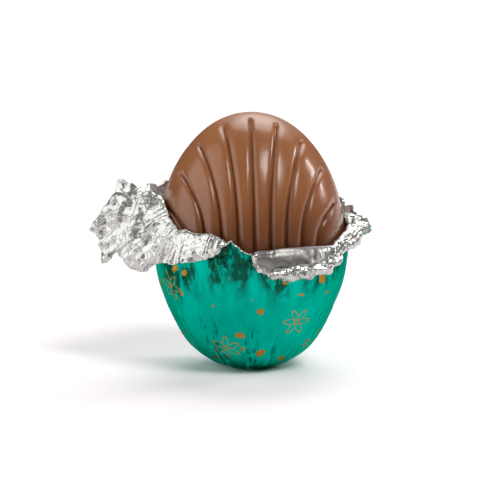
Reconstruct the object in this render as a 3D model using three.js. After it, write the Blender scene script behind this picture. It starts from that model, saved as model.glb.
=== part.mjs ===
// A small milk-chocolate egg, stood on its broad end and half unwrapped.
// The egg is one solid casting with a fan of scalloped lobes on its front and back.
// The wrapper is one sheet of foil: a cup that hugs the lower half, with its torn
// upper part folded down in front, pulled out as a flap on the left and as an ear
// on the right, and left standing behind the egg.
// Frame: X to the right, Y to the back, Z up, with the origin on the resting spot.
import * as THREE from 'three';

// Driving dimensions, in millimetres unless a name says otherwise.
const EGG_HALF_WIDTH = 13.95;
const EGG_HALF_DEPTH = 12.85;
const EGG_ABOVE_WIDEST = 20.16;
const EGG_BELOW_WIDEST = 17.63;
const WIDEST_HEIGHT = 17.73;
const LOWER_TAPER = 0.09; // share of the width that the lower half loses on its way down
const LOWER_BLUNTING = 0.19; // share that its round end gains back

const FOIL_THICKNESS = 0.3; // the real sheet is thinner: this is what a solid can keep
const FOIL_GAP = 0.15;
const REST_RADIUS = 3.0;

// The scallops. Shares are of the egg's half width or half height, seen from the front.
const GROOVES_EACH_SIDE = 4;
const GROOVE_PITCH_SHARE = 0.175; // at the widest level
const GROOVE_FAN_DEGREES = 17.9; // between two groove ends, round the border
const GROOVE_BEND = 2.35; // how late a groove turns outwards on its way up
const FAN_TILT_DEGREES = 6.9; // the fan sits a little nearer to the top
const CASTING_TURN_DEGREES = 1.9; // how the casting sits in its wrapper
const CASTING_ROLL_DEGREES = -1.0;
const BORDER_SHARE = 0.96;
const LOBE_END_SHARE = 0.06;
const GROOVE_DEPTH = 0.5;
const BORDER_DEPTH = 0.25;
const ROUND_LOBE_POWER = 2.2; // the lobes are round at the widest level
const FLAT_LOBE_POWER = 5; // and flatter, with narrow grooves, near the border
const GROOVES_FADE_FROM = -0.3; // along a groove: towards the bottom it grows shallow

// How finely each surface is cut into triangles.
const LOBE_CUTS = [0, 0.12, 0.3, 0.5, 0.7, 0.88];
const OUTER_LOBE_CUTS = [0.12, 0.35, 0.7, 1];
const GROOVE_CUTS = [-1, -0.85, -0.65, -0.42, -0.2, 0, 0.18, 0.36, 0.52, 0.66, 0.78, 0.87, 0.93, 0.97, 1];
const BAND_CUTS = [0, 0.35, 0.7, 1];
const FOIL_COLUMNS = 96;
const CUP_ROWS = 8;
const TURN_CUTS = [0.2, 0.35, 0.5, 0.62, 0.74, 0.83, 0.92, 1];

// The foil's rim and torn edge, going round the egg: the turn in degrees from the front
// (right is positive), the height of the rim, the torn edge's place, and how far the
// sheet is folded over there, from 0, standing up, to 1, folded outwards.
const FOIL_STATIONS = [
  { turn: -180, rim: 26.1, edge: [0.0, 13.0, 27.9], fold: 0 },
  { turn: -168, rim: 26.4, edge: [-2.8, 12.4, 28.9], fold: 0 },
  { turn: -156, rim: 26.0, edge: [-5.5, 11.9, 27.7], fold: 0 },
  { turn: -142, rim: 26.3, edge: [-8.4, 10.1, 28.6], fold: 0 },
  { turn: -128, rim: 25.8, edge: [-10.9, 8.3, 26.9], fold: 0 },
  { turn: -114, rim: 24.8, edge: [-12.7, 5.6, 26.6], fold: 0 },
  { turn: -103, rim: 24.7, edge: [-13.4, 3.8, 26.1], fold: 0.1 },
  { turn: -94, rim: 24.7, edge: [-14.4, 2.4, 26.7], fold: 0.3 },
  { turn: -85, rim: 25.0, edge: [-16.4, 0.8, 26.9], fold: 0.7 },
  { turn: -76, rim: 25.4, edge: [-19.2, -1.0, 28.4], fold: 1 },
  { turn: -72, rim: 25.1, edge: [-21.9, -1.5, 24.4], fold: 1 },
  { turn: -69, rim: 24.8, edge: [-24.1, -2.0, 21.0], fold: 1 },
  { turn: -66, rim: 24.3, edge: [-23.1, -2.5, 19.3], fold: 1 },
  { turn: -62, rim: 23.8, edge: [-22.2, -3.0, 16.0], fold: 1 },
  { turn: -59, rim: 23.3, edge: [-19.4, -4.0, 17.5], fold: 1 },
  { turn: -55, rim: 22.6, edge: [-16.4, -5.5, 15.3], fold: 1 },
  { turn: -51, rim: 22.1, edge: [-14.9, -6.7, 16.0], fold: 1 },
  { turn: -48, rim: 21.6, edge: [-14.1, -7.3, 16.8], fold: 1 },
  { turn: -42, rim: 21.9, edge: [-12.0, -9.2, 17.2], fold: 1 },
  { turn: -36, rim: 21.5, edge: [-10.1, -10.8, 17.4], fold: 1 },
  { turn: -24, rim: 21.6, edge: [-7.1, -12.7, 18.0], fold: 1 },
  { turn: -18, rim: 21.1, edge: [-5.3, -13.4, 18.7], fold: 1 },
  { turn: -12, rim: 20.1, edge: [-3.0, -13.6, 20.7], fold: 0.3 },
  { turn: -9, rim: 18.4, edge: [-2.2, -13.6, 20.1], fold: 0 },
  { turn: -3, rim: 18.0, edge: [-0.7, -13.7, 19.3], fold: 0 },
  { turn: 0, rim: 18.3, edge: [0.1, -13.8, 19.3], fold: 0.2 },
  { turn: 2, rim: 19.2, edge: [0.4, -14.2, 17.7], fold: 1 },
  { turn: 5, rim: 19.3, edge: [1.0, -14.2, 16.7], fold: 1 },
  { turn: 11, rim: 19.4, edge: [2.8, -14.0, 15.4], fold: 1 },
  { turn: 18, rim: 19.6, edge: [4.2, -13.8, 15.1], fold: 1 },
  { turn: 31, rim: 19.6, edge: [8.0, -12.6, 15.5], fold: 1 },
  { turn: 42, rim: 19.4, edge: [10.2, -11.2, 16.2], fold: 1 },
  { turn: 53, rim: 19.2, edge: [12.5, -9.0, 17.1], fold: 1 },
  { turn: 59, rim: 19.8, edge: [13.6, -7.2, 17.5], fold: 1 },
  { turn: 66, rim: 20.3, edge: [14.6, -5.2, 18.2], fold: 1 },
  { turn: 75, rim: 20.7, edge: [16.1, -3.2, 19.5], fold: 1 },
  { turn: 82, rim: 21.1, edge: [17.4, -2.0, 19.7], fold: 1 },
  { turn: 89, rim: 21.4, edge: [17.6, -1.0, 20.8], fold: 1 },
  { turn: 97, rim: 21.6, edge: [16.6, 0.8, 21.6], fold: 0.8 },
  { turn: 104, rim: 22.0, edge: [14.9, 3.0, 22.8], fold: 0.3 },
  { turn: 112, rim: 22.3, edge: [13.8, 5.0, 23.7], fold: 0 },
  { turn: 122, rim: 23.2, edge: [12.4, 7.0, 24.6], fold: 0 },
  { turn: 134, rim: 24.2, edge: [10.3, 8.9, 26.7], fold: 0 },
  { turn: 147, rim: 25.0, edge: [7.8, 11.0, 26.5], fold: 0 },
  { turn: 158, rim: 25.8, edge: [5.1, 11.8, 28.2], fold: 0 },
  { turn: 169, rim: 25.8, edge: [2.6, 12.7, 27.3], fold: 0 },
  { turn: 180, rim: 26.1, edge: [0.0, 13.0, 27.9], fold: 0 },
];
const FOLD_RISE = 0.5; // how far the sheet climbs past the rim before it turns over
const FOLD_REACH = 1.15; // how far it then stands off the wall
const FOLD_DRAW = 0.12; // share of the way to the torn edge where the turned sheet straightens
const UPRIGHT_DRAW = 0.6; // the same where the sheet stands up

// Crumpling: facets of these sizes, moved by these amounts where the foil is loose.
const CRUMPLES = [
  { facet: 4.6, shift: 0.75, salt: 11 },
  { facet: 2.1, shift: 0.35, salt: 23 },
];
const SNUG_STANDOFF = 0.5; // the sheet keeps still up to here from the egg
const LOOSE_STANDOFF = 3.0; // and crumples fully from here on
const FACET_AXES = [
  new THREE.Vector3(0.8, 0.36, 0.48),
  new THREE.Vector3(-0.6, 0.48, 0.64),
  new THREE.Vector3(0, -0.8, 0.6),
];

const radians = THREE.MathUtils.degToRad;
const { lerp, smoothstep, clamp } = THREE.MathUtils;

// The point of the egg's smooth outer form in a direction of the unit ball, moved out by
// `grow` millimetres and never below `floor`.
function formPoint(direction, grow, floor) {
  const down = Math.max(0, -direction.z);
  const belly = 1 - LOWER_TAPER * down + LOWER_BLUNTING * down ** 5;
  const height = direction.z > 0 ? EGG_ABOVE_WIDEST : EGG_BELOW_WIDEST;
  const outwards = new THREE.Vector3(
    direction.x / EGG_HALF_WIDTH,
    direction.y / EGG_HALF_DEPTH,
    direction.z / height,
  ).normalize();
  const point = new THREE.Vector3(
    direction.x * EGG_HALF_WIDTH * belly,
    direction.y * EGG_HALF_DEPTH * belly,
    WIDEST_HEIGHT + direction.z * height,
  ).addScaledVector(outwards, grow);
  point.z = Math.max(point.z, floor);
  return point;
}

// One closed mesh out of rows of points: each strip lies between two rows of equal length.
class Shell {
  constructor() {
    this.corners = [];
    this.numbers = new Map();
    this.faces = [];
  }

  corner(point) {
    const key = point.toArray().map((value) => Math.round(value * 1e4)).join(' ');
    if (!this.numbers.has(key)) {
      this.numbers.set(key, this.corners.length);
      this.corners.push(point);
    }
    return this.numbers.get(key);
  }

  triangle(a, b, c) {
    const [i, j, k] = [this.corner(a), this.corner(b), this.corner(c)];
    if (i !== j && j !== k && k !== i) {
      this.faces.push(i, j, k);
    }
  }

  // The faces look towards the side from which `low` runs to the right below `high`.
  strip(low, high) {
    for (let i = 0; i + 1 < low.length; i += 1) {
      this.triangle(low[i], low[i + 1], high[i + 1]);
      this.triangle(low[i], high[i + 1], high[i]);
    }
  }

  geometry() {
    const made = new THREE.BufferGeometry();
    const places = this.corners.flatMap((corner) => corner.toArray());
    made.setAttribute('position', new THREE.Float32BufferAttribute(places, 3));
    made.setIndex(this.faces);
    made.computeVertexNormals();
    return made;
  }
}

// A direction of the front half from its place in the fan's flat pattern.
function fanDirection(across, up) {
  const forward = Math.sqrt(Math.max(0, 1 - across * across - up * up));
  const tilt = radians(FAN_TILT_DEGREES);
  return new THREE.Vector3(
    across,
    -(forward * Math.cos(tilt) - up * Math.sin(tilt)),
    up * Math.cos(tilt) + forward * Math.sin(tilt),
  );
}

// Where a groove's lower end meets the border, in radians from the bottom.
function lowerEndAngle(lobe) {
  const share = GROOVE_PITCH_SHARE * lobe;
  return Math.asin((share / BORDER_SHARE) * Math.sqrt((1 - BORDER_SHARE ** 2) / (1 - share ** 2)));
}

// The place in the pattern of the line that a (fractional) groove number follows;
// `along` runs from -1 at the bottom to 1 at the border above.
function groovePlace(lobe, along) {
  const middle = GROOVE_PITCH_SHARE * lobe;
  if (along < 0) {
    const up = along * BORDER_SHARE * Math.cos(lowerEndAngle(lobe));
    return { across: middle * Math.sqrt(1 - up * up), up };
  }
  const end = radians(GROOVE_FAN_DEGREES * lobe);
  const reach = BORDER_SHARE * Math.sin(end) - middle;
  return { across: middle + reach * along ** GROOVE_BEND, up: along * BORDER_SHARE * Math.cos(end) };
}

// How far round the border, in radians from the top, the outermost lobe's edge is.
function borderAngle(side, along) {
  const upper = radians(GROOVE_FAN_DEGREES * GROOVES_EACH_SIDE);
  const lower = Math.PI - lowerEndAngle(GROOVES_EACH_SIDE);
  const angle = along > 0 ? lerp(Math.PI / 2, upper, along) : lerp(Math.PI / 2, lower, -along);
  return side * angle;
}

function lobePlace(lobe, along) {
  const beyond = Math.abs(lobe) - GROOVES_EACH_SIDE;
  if (beyond <= 0) {
    return groovePlace(lobe, along);
  }
  const side = Math.sign(lobe);
  const groove = groovePlace(side * GROOVES_EACH_SIDE, along);
  const angle = borderAngle(side, along);
  return {
    across: lerp(groove.across, BORDER_SHARE * Math.sin(angle), beyond),
    up: lerp(groove.up, BORDER_SHARE * Math.cos(angle), beyond),
  };
}

// How deep the casting lies under its outer form at a place of the scallops.
function scallopDepth(lobe, along, place) {
  const beyond = Math.abs(lobe) - GROOVES_EACH_SIDE;
  const share = lobe - Math.floor(lobe);
  const towardsGroove = beyond > 0 ? Math.max(0, 1 - 2 * beyond) : Math.abs(2 * share - 1);
  const power = lerp(ROUND_LOBE_POWER, FLAT_LOBE_POWER, clamp(along, 0, 1));
  const shallower = smoothstep(along, -1, GROOVES_FADE_FROM);
  const groove = GROOVE_DEPTH * shallower * towardsGroove ** power;
  const lobeEnd = smoothstep(
    Math.hypot(place.across, place.up),
    BORDER_SHARE - LOBE_END_SHARE,
    BORDER_SHARE,
  );
  return lerp(groove, BORDER_DEPTH, lobeEnd);
}

function lobeCuts() {
  const cuts = [];
  for (let lobe = -GROOVES_EACH_SIDE; lobe < GROOVES_EACH_SIDE; lobe += 1) {
    cuts.push(...LOBE_CUTS.map((share) => lobe + share));
  }
  const outer = OUTER_LOBE_CUTS.map((share) => GROOVES_EACH_SIDE + share);
  return [...outer.map((cut) => -cut).reverse(), ...cuts, GROOVES_EACH_SIDE, ...outer];
}

// The border's angles all the way round, as the scallops' outer points have them.
function borderAngles(cuts) {
  const inner = cuts.filter((lobe) => Math.abs(lobe) <= GROOVES_EACH_SIDE);
  const upwards = GROOVE_CUTS.slice(1, -1);
  return [
    ...inner.map((lobe) => radians(GROOVE_FAN_DEGREES * lobe)),
    ...upwards.toReversed().map((along) => borderAngle(1, along)),
    ...inner.toReversed().map((lobe) => Math.PI - lowerEndAngle(lobe)),
    ...upwards.map((along) => borderAngle(-1, along)),
    radians(-GROOVE_FAN_DEGREES * GROOVES_EACH_SIDE),
  ];
}

// A place of the plain band between the scallops (0) and the seam of the two halves (1).
function bandPlace(angle, share) {
  const border = fanDirection(BORDER_SHARE * Math.sin(angle), BORDER_SHARE * Math.cos(angle));
  const seam = new THREE.Vector3(Math.sin(angle), 0, Math.cos(angle));
  return { direction: border.lerp(seam, share).normalize(), depth: BORDER_DEPTH * (1 - share) };
}

// The casting's point at a place of its front (1) or of its back (-1).
function castingPoint({ direction, depth }, side) {
  const settled = new THREE.Vector3(direction.x, direction.y * side, direction.z);
  settled.applyAxisAngle(new THREE.Vector3(0, 0, 1), radians(CASTING_TURN_DEGREES));
  settled.applyAxisAngle(new THREE.Vector3(0, 1, 0), radians(CASTING_ROLL_DEGREES));
  return formPoint(settled, -depth, FOIL_THICKNESS + FOIL_GAP);
}

function eggGeometry() {
  const cuts = lobeCuts();
  const scallops = GROOVE_CUTS.map((along) => cuts.map((lobe) => {
    const place = lobePlace(lobe, along);
    const depth = scallopDepth(lobe, along, place);
    return { direction: fanDirection(place.across, place.up), depth };
  }));
  const angles = borderAngles(cuts);
  const band = BAND_CUTS.map((share) => angles.map((angle) => bandPlace(angle, share)));
  const shell = new Shell();
  for (const places of [scallops, band]) {
    const front = places.map((row) => row.map((place) => castingPoint(place, 1)));
    const back = places.map((row) => row.map((place) => castingPoint(place, -1)));
    front.slice(1).forEach((row, i) => shell.strip(front[i], row));
    back.slice(1).forEach((row, i) => shell.strip(row, back[i]));
  }
  return shell.geometry();
}

// A whole number's scrambled value, from -1 to 1.
function scrambled(x, y, z, salt) {
  let bits = Math.imul(x, 374761393) ^ Math.imul(y, 668265263) ^ Math.imul(z, 2246822519);
  bits ^= Math.imul(salt, 3266489917);
  bits = Math.imul(bits ^ (bits >>> 15), 2246822519);
  bits = Math.imul(bits ^ (bits >>> 13), 3266489917);
  return ((bits ^ (bits >>> 16)) >>> 0) / 2147483648 - 1;
}

// A field of flat facets with sharp creases between them, one value for each salt.
function faceted(point, facet, salt) {
  const turned = FACET_AXES.map((axis) => axis.dot(point) / facet);
  const cell = turned.map(Math.floor);
  const rest = turned.map((value, axis) => value - cell[axis]);
  const order = [0, 1, 2].sort((a, b) => rest[b] - rest[a]);
  let value = (1 - rest[order[0]]) * scrambled(...cell, salt);
  order.forEach((axis, i) => {
    cell[axis] += 1;
    const share = rest[axis] - (i < 2 ? rest[order[i + 1]] : 0);
    value += share * scrambled(...cell, salt);
  });
  return value;
}

// A point of the sheet, moved by its crumples as far as it is loose.
function crumpled(point) {
  const reach = Math.hypot(
    point.x / EGG_HALF_WIDTH,
    point.y / EGG_HALF_DEPTH,
    (point.z - WIDEST_HEIGHT) / EGG_ABOVE_WIDEST,
  );
  const standoff = (reach - 1) * EGG_HALF_DEPTH;
  const loose = smoothstep(standoff, SNUG_STANDOFF, LOOSE_STANDOFF);
  const moved = point.clone();
  for (const { facet, shift, salt } of CRUMPLES) {
    moved.x += loose * shift * faceted(point, facet, salt);
    moved.y += loose * shift * faceted(point, facet, salt + 1);
    moved.z += loose * shift * faceted(point, facet, salt + 2);
  }
  return moved;
}

// The direction of the unit ball at a turn from the front and a height.
function wallDirection(turn, height) {
  const above = height - WIDEST_HEIGHT;
  const up = above / (above > 0 ? EGG_ABOVE_WIDEST : EGG_BELOW_WIDEST);
  const level = Math.sqrt(Math.max(0, 1 - up * up));
  return new THREE.Vector3(level * Math.sin(turn), -level * Math.cos(turn), up);
}

// The rim, torn edge and fold of the foil at a turn, between the stations on either side.
function stationAt(turn) {
  const next = FOIL_STATIONS.findIndex((station, i) => i > 0 && station.turn >= turn);
  const [from, to] = [FOIL_STATIONS[next - 1], FOIL_STATIONS[next]];
  const share = (turn - from.turn) / (to.turn - from.turn);
  return {
    turn: radians(turn),
    rim: lerp(from.rim, to.rim, share),
    edge: new THREE.Vector3(...from.edge).lerp(new THREE.Vector3(...to.edge), share),
    fold: lerp(from.fold, to.fold, share),
  };
}

// Stations at even steps of the foil's length, halfway between its rim and its torn edge.
function foilColumns() {
  const fine = [];
  const stepDegrees = 0.5;
  let length = 0;
  for (let turn = -180; turn <= 180; turn += stepDegrees) {
    const station = stationAt(turn);
    const rim = formPoint(wallDirection(station.turn, station.rim), FOIL_GAP, 0);
    const last = fine.at(-1);
    if (last) {
      length += (rim.distanceTo(last.rim) + station.edge.distanceTo(last.edge)) / 2;
    }
    fine.push({ turn, rim, edge: station.edge, length });
  }
  const columns = [];
  for (let i = 0; i < FOIL_COLUMNS; i += 1) {
    const wanted = (length * i) / FOIL_COLUMNS;
    const after = Math.max(1, fine.findIndex((place) => place.length >= wanted));
    const [a, b] = [fine[after - 1], fine[after]];
    columns.push(stationAt(lerp(a.turn, b.turn, (wanted - a.length) / (b.length - a.length))));
  }
  return columns;
}

// The turned part of one column as a curve from the rim over to the torn edge.
function turnCurve(station) {
  const middle = FOIL_GAP + FOIL_THICKNESS / 2;
  const rim = formPoint(wallDirection(station.turn, station.rim), middle, 0);
  const below = formPoint(wallDirection(station.turn, station.rim - 1), middle, 0);
  const up = rim.clone().sub(below).normalize();
  const out = new THREE.Vector3(Math.sin(station.turn), -Math.cos(station.turn), 0);
  const leave = rim.clone().addScaledVector(up, FOLD_RISE);
  const over = rim.clone().lerp(station.edge, FOLD_DRAW);
  over.addScaledVector(out, FOLD_REACH).addScaledVector(up, FOLD_RISE);
  const straight = rim.clone().lerp(station.edge, UPRIGHT_DRAW);
  return new THREE.CubicBezierCurve3(rim, leave, straight.lerp(over, station.fold), station.edge);
}

// The middle of the sheet as rows from the resting spot up to the rim and over to the edge.
function sheetRows(columns) {
  const middle = FOIL_GAP + FOIL_THICKNESS / 2;
  const rows = [];
  const lowest = WIDEST_HEIGHT - EGG_BELOW_WIDEST;
  const restLevel = Math.asin(REST_RADIUS / EGG_HALF_WIDTH);
  for (let row = 0; row <= CUP_ROWS; row += 1) {
    rows.push(columns.map((station) => {
      const rimDirection = wallDirection(station.turn, station.rim);
      const rimLevel = Math.PI / 2 + Math.asin(rimDirection.z);
      const level = lerp(restLevel, rimLevel, row / CUP_ROWS);
      const direction = new THREE.Vector3(
        Math.sin(level) * Math.sin(station.turn),
        -Math.sin(level) * Math.cos(station.turn),
        -Math.cos(level),
      );
      return formPoint(direction, middle, lowest);
    }));
  }
  const curves = columns.map(turnCurve);
  for (const cut of TURN_CUTS) {
    rows.push(curves.map((curve) => curve.getPoint(cut)));
  }
  return rows;
}

// The sheet's outward direction at each of its points, from the points around it.
function sheetNormals(rows) {
  return rows.map((row, r) => row.map((point, c) => {
    const before = row.at(c - 1);
    const after = row[(c + 1) % row.length];
    const below = rows[Math.max(0, r - 1)][c];
    const above = rows[Math.min(rows.length - 1, r + 1)][c];
    const along = after.clone().sub(before);
    return along.cross(above.clone().sub(below)).normalize();
  }));
}

function foilGeometry() {
  const rows = sheetRows(foilColumns());
  const normals = sheetNormals(rows);
  const side = (offset, floor) => rows.map((row, r) => row.map((point, c) => {
    const moved = crumpled(point.clone().addScaledVector(normals[r][c], offset));
    if (r === 0) {
      moved.set(rows[0][c].x, rows[0][c].y, floor);
    }
    moved.z = Math.max(moved.z, floor);
    return moved;
  }));
  const outer = side(FOIL_THICKNESS / 2, 0);
  const inner = side(-FOIL_THICKNESS / 2, FOIL_THICKNESS);
  const closed = (row) => [...row, row[0]];
  const shell = new Shell();
  for (let r = 1; r < rows.length; r += 1) {
    shell.strip(closed(outer[r - 1]), closed(outer[r]));
    shell.strip(closed(inner[r]), closed(inner[r - 1]));
  }
  shell.strip(closed(outer.at(-1)), closed(inner.at(-1)));
  const outerMiddle = new THREE.Vector3(0, 0, 0);
  const innerMiddle = new THREE.Vector3(0, 0, FOIL_THICKNESS);
  shell.strip(closed(outer[0]).map(() => outerMiddle), closed(outer[0]));
  shell.strip(closed(inner[0]), closed(inner[0]).map(() => innerMiddle));
  return shell.geometry();
}

const chocolate = new THREE.MeshStandardMaterial({ color: 0x7d5039, roughness: 0.42, metalness: 0 });
const tealFoil = new THREE.MeshStandardMaterial({
  color: 0x009f8b,
  roughness: 0.35,
  metalness: 0.6,
  flatShading: true,
});

const egg = new THREE.Mesh(eggGeometry(), chocolate);
egg.name = 'chocolate_egg';

const wrapper = new THREE.Mesh(foilGeometry(), tealFoil);
wrapper.name = 'foil_wrapper';

const unwrappedEgg = new THREE.Group();
unwrappedEgg.name = 'unwrapped_chocolate_egg';
unwrappedEgg.add(egg, wrapper);

export default unwrappedEgg;
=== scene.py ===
import math

import bpy
import numpy as np
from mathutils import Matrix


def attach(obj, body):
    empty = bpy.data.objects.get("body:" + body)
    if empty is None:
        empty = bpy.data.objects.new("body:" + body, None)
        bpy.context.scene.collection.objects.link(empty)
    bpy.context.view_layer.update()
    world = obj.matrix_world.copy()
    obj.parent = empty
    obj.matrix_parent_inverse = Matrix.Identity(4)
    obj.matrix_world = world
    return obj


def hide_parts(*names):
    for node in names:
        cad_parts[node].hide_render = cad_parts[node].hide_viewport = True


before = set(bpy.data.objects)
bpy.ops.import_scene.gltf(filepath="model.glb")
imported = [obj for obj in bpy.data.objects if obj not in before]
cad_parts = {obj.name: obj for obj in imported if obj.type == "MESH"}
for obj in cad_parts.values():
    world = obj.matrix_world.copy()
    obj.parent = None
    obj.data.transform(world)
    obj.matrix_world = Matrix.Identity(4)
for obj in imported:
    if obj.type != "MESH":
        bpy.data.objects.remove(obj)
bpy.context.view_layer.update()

# ---------------------------------------------------------------------------------------
# The egg. A solid milk-chocolate casting from a two-part mould: each half carries a fan of
# scalloped lobes with narrow grooves between them, inside a plain band along the seam.
# It was knocked out of the mould and wrapped, and sits a little turned in its foil.
MM = 0.001

EGG_HALF_WIDTH = 13.95
EGG_HALF_DEPTH = 12.85
EGG_ABOVE_WIDEST = 20.16
EGG_BELOW_WIDEST = 17.63
WIDEST_HEIGHT = 17.73
LOWER_TAPER = 0.09
LOWER_BLUNTING = 0.19
EGG_FLOOR = 0.45

GROOVES_EACH_SIDE = 4
GROOVE_PITCH_SHARE = 0.175
GROOVE_FAN_DEGREES = 17.9
GROOVE_BEND = 2.35
FAN_TILT_DEGREES = 6.9
CASTING_TURN_DEGREES = 1.9
CASTING_ROLL_DEGREES = -1.0
BORDER_SHARE = 0.96
LOBE_END_SHARE = 0.13
GROOVE_END_SHARE = 0.035
GROOVE_DEPTH = 0.58
LOW_GROOVE_DEPTH = 0.9
GROOVE_CUT = 0.13
GROOVE_CUT_SHARE = 0.11
BORDER_DEPTH = 0.14
ROUND_LOBE_POWER = 2.2
FLAT_LOBE_POWER = 6.5
SEAM_RIDGE_HEIGHT = 0.07
SEAM_RIDGE_WIDTH = 0.045  # share of the band

COLUMNS_PER_LOBE = 22
ROWS_ABOVE_WIDEST = 110
ROWS_BELOW_WIDEST = 34
BAND_ROWS = 14


def smooth_step(value, low, high):
    share = np.clip((value - low) / (high - low), 0, 1)
    return share * share * (3 - 2 * share)


def mix(a, b, share):
    return a + (b - a) * share


def form_points(direction, grow, floor):
    """Points of the egg's smooth outer form in directions of the unit ball, moved out by grow."""
    x, y, z = direction[..., 0], direction[..., 1], direction[..., 2]
    down = np.maximum(0, -z)
    belly = 1 - LOWER_TAPER * down + LOWER_BLUNTING * down**5
    height = np.where(z > 0, EGG_ABOVE_WIDEST, EGG_BELOW_WIDEST)
    outwards = np.stack([x / EGG_HALF_WIDTH, y / EGG_HALF_DEPTH, z / height], -1)
    outwards /= np.linalg.norm(outwards, axis=-1, keepdims=True)
    across, deep = x * EGG_HALF_WIDTH * belly, y * EGG_HALF_DEPTH * belly
    places = np.stack([across, deep, WIDEST_HEIGHT + z * height], -1)
    places = places + outwards * np.broadcast_to(grow, x.shape)[..., None]
    places[..., 2] = np.maximum(places[..., 2], floor)
    return places


def strip_faces(rows, columns, first, flip=False, closed=False):
    """Quads between rows of points that are numbered row by row from first."""
    across = columns if closed else columns - 1
    r, c = np.meshgrid(np.arange(rows - 1), np.arange(across), indexing="ij")
    after = (c + 1) % columns
    corners = [first + r * columns + c, first + r * columns + after]
    corners += [first + (r + 1) * columns + after, first + (r + 1) * columns + c]
    quads = np.stack([corner.ravel() for corner in corners], -1)
    return quads[:, ::-1] if flip else quads


def make_piece(name, points_mm, quads, merge_mm):
    """A mesh object from points and quads, its doubled points merged and slivers dropped."""
    mesh = bpy.data.meshes.new(name)
    mesh.from_pydata((points_mm * MM).tolist(), [], quads.tolist())
    piece = bpy.data.objects.new(name, mesh)
    bpy.context.scene.collection.objects.link(piece)
    weld = piece.modifiers.new("weld", "WELD")
    weld.merge_threshold = merge_mm * MM
    bpy.context.view_layer.objects.active = piece
    bpy.ops.object.modifier_apply(modifier=weld.name)
    mesh.validate()
    return piece


def fan_direction(across, up):
    forward = np.sqrt(np.maximum(0, 1 - across**2 - up**2))
    tilt = math.radians(FAN_TILT_DEGREES)
    y = -(forward * math.cos(tilt) - up * math.sin(tilt))
    z = up * math.cos(tilt) + forward * math.sin(tilt)
    return np.stack([across, y, z], -1)


def lower_end_angle(lobe):
    share = GROOVE_PITCH_SHARE * lobe
    return np.arcsin(share / BORDER_SHARE * np.sqrt((1 - BORDER_SHARE**2) / (1 - share**2)))


def groove_place(lobe, along):
    """Where the line of a (fractional) groove number runs, from -1, the bottom, to 1, the border."""
    middle = GROOVE_PITCH_SHARE * lobe
    low_up = along * BORDER_SHARE * np.cos(lower_end_angle(lobe))
    end = np.radians(GROOVE_FAN_DEGREES * lobe)
    reach = BORDER_SHARE * np.sin(end) - middle
    across = np.where(
        along < 0,
        middle * np.sqrt(1 - np.minimum(1, low_up**2)),
        middle + reach * np.maximum(along, 0) ** GROOVE_BEND,
    )
    return across, np.where(along < 0, low_up, along * BORDER_SHARE * np.cos(end))


def border_angle(side, along):
    upper = math.radians(GROOVE_FAN_DEGREES * GROOVES_EACH_SIDE)
    lower = math.pi - lower_end_angle(GROOVES_EACH_SIDE)
    return side * mix(math.pi / 2, np.where(along > 0, upper, lower), np.abs(along))


def lobe_place(lobe, along):
    beyond = np.maximum(0, np.abs(lobe) - GROOVES_EACH_SIDE)
    side = np.sign(lobe)
    kept = np.clip(lobe, -GROOVES_EACH_SIDE, GROOVES_EACH_SIDE)
    across, up = groove_place(kept, along)
    angle = border_angle(side, along)
    across = mix(across, BORDER_SHARE * np.sin(angle), beyond)
    return across, mix(up, BORDER_SHARE * np.cos(angle), beyond)


def scallop_depth(lobe, along, across, up):
    beyond = np.abs(lobe) - GROOVES_EACH_SIDE
    share = lobe - np.floor(lobe)
    towards_groove = np.where(beyond > 0, np.maximum(0, 1 - 2 * beyond), np.abs(2 * share - 1))
    power = mix(ROUND_LOBE_POWER, FLAT_LOBE_POWER, np.clip(along, 0, 1) ** 1.5)
    cut = GROOVE_CUT * np.exp(-(((1 - towards_groove) / GROOVE_CUT_SHARE) ** 2))
    deepest = mix(LOW_GROOVE_DEPTH, GROOVE_DEPTH, smooth_step(along, 0.1, 0.75))
    groove = smooth_step(along, -1, -0.3) * (deepest * towards_groove**power + cut)
    reach = np.hypot(across, up)
    groove = groove * (1 - smooth_step(reach, BORDER_SHARE - GROOVE_END_SHARE, BORDER_SHARE))
    return groove + BORDER_DEPTH * smooth_step(reach, BORDER_SHARE - LOBE_END_SHARE, BORDER_SHARE)


def casting_points(direction, depth, side):
    x, y, z = direction[..., 0], direction[..., 1] * side, direction[..., 2]
    turn, roll = math.radians(CASTING_TURN_DEGREES), math.radians(CASTING_ROLL_DEGREES)
    x, y = x * math.cos(turn) - y * math.sin(turn), x * math.sin(turn) + y * math.cos(turn)
    x, z = x * math.cos(roll) + z * math.sin(roll), z * math.cos(roll) - x * math.sin(roll)
    ripple = 0.02 * np.sin(9 * x + 4 * z + 1.3) * np.cos(7 * z - 5 * y + 0.4)
    return form_points(np.stack([x, y, z], -1), ripple - depth, EGG_FLOOR)


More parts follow.
